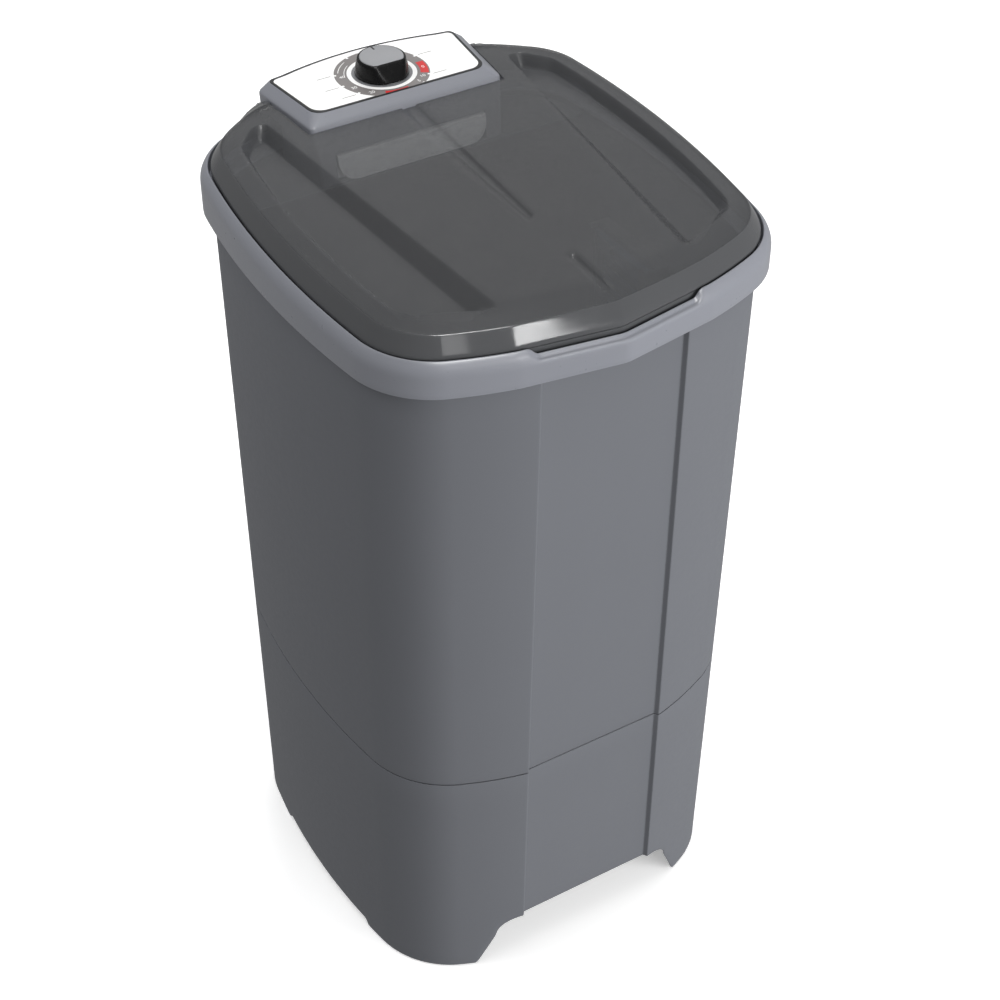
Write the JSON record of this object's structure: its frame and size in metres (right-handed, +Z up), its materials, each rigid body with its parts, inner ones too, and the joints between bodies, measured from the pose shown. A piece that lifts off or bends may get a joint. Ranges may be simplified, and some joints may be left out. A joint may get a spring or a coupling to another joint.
{
  "type": "semi-automatic washing machine",
  "caption": "Top-loading semi-automatic washing machine with a bowed moulded body, smoke lid hinged at a raised rear console, and a belt-driven agitator.",
  "frame": {"origin": "on the floor under the middle of the machine, midway between its front and back and between its sides", "axes": "+Z up, -Y to the front where the rim comes to a point, +X to the right as seen from the front"},
  "size_m": [0.4586, 0.5056, 0.897],
  "materials": {
    "body_grey": "satin, finely grained",
    "trim_grey": "satin",
    "smoke_plastic": "polished, smoke tinted",
    "label_white": "smooth film",
    "tub_grey": "satin",
    "drawer_grey": "satin, translucent",
    "black_plastic": "matte",
    "cap_grey": "satin",
    "cream_plastic": "matte",
    "blue_plastic": "satin",
    "rubber_black": "matte",
    "zinc": "zinc plated",
    "painted_steel": "painted",
    "cast_aluminium": "as cast",
    "bronze": "sintered",
    "copper": "enamelled wire"
  },
  "bodies": {
    "machine": {"cabinet": "body_grey", "base_skirt": "body_grey", "top_rim": "trim_grey", "console_tray": "tub_grey", "wash_tub": "tub_grey", "console_housing": "trim_grey", "console_label": "label_white", "console_screws": "zinc", "timer_body": "cream_plastic", "timer_screws": "zinc", "dispenser_sleeve": "trim_grey", "lid_hinge_pins": "zinc", "bearing_housing": "cast_aluminium", "upper_bush": "bronze", "lower_bush": "bronze", "shaft_seal": "rubber_black", "housing_bolts": "zinc", "drive_belt": "rubber_black", "motor_bracket": "painted_steel", "rubber_mounts": "rubber_black", "bracket_screws": "zinc", "motor_stator": "painted_steel", "motor_windings": "copper", "upper_shield": "cast_aluminium", "lower_shield": "cast_aluminium", "motor_bearings": "zinc", "through_bolts": "zinc", "capacitor": "cream_plastic", "capacitor_clip": "painted_steel", "filter_frame": "tub_grey", "drain_grate": "black_plastic", "drain_elbow": "black_plastic", "drain_hose": "rubber_black", "drain_outlet": "black_plastic", "hose_clamps": "zinc", "wiring_harness": "black_plastic", "harness_clips": "cream_plastic", "cord_gland": "black_plastic", "foot_pads": "rubber_black", "bottom_guard": "black_plastic", "guard_screws": "zinc", "seam_screws": "zinc"},
    "lid": {"lid": "smoke_plastic"},
    "knob": {"timer_knob": "black_plastic", "knob_cap": "cap_grey", "timer_shaft": "zinc"},
    "agitator": {"agitator": "blue_plastic", "agitator_cap": "blue_plastic", "agitator_bolt": "zinc", "agitator_shaft": "zinc", "thrust_washer": "zinc", "driven_pulley": "cast_aluminium", "pulley_nut": "zinc"},
    "rotor": {"motor_rotor": "painted_steel", "motor_fan": "black_plastic", "motor_pulley": "cast_aluminium"},
    "drawer": {"dispenser_drawer": "drawer_grey", "drawer_front": "drawer_grey"},
    "filter": {"lint_filter": "blue_plastic"}
  },
  "joints": [
    {"name": "lid_hinge", "type": "hinge", "parent": "machine", "child": "lid", "pos_m": [0, 0.218, 0.858], "axis": [-1, 0, 0], "range_deg": [0, 95]},
    {"name": "timer_turn", "type": "hinge", "parent": "machine", "child": "knob", "pos_m": [0, 0.1915, 0.879], "axis": [0, 0, -1], "range_deg": [0, 330]},
    {"name": "agitator_spin", "type": "hinge", "parent": "machine", "child": "agitator", "pos_m": [0, 0, 0.3], "axis": [0, 0, 1], "continuous": true},
    {"name": "rotor_spin", "type": "hinge", "parent": "machine", "child": "rotor", "pos_m": [0, 0.128, 0.25], "axis": [0, 0, 1], "continuous": true},
    {"name": "drawer_slide", "type": "slide", "parent": "machine", "child": "drawer", "axis": [0, -1, 0], "range_m": [0, 0.048]},
    {"name": "filter_lift", "type": "slide", "parent": "machine", "child": "filter", "axis": [0, 0, 1], "range_m": [0, 0.1]}
  ],
  "couplings": [
    {"joint": "rotor_spin", "follows": "agitator_spin", "ratio": 4.7368}
  ]
}
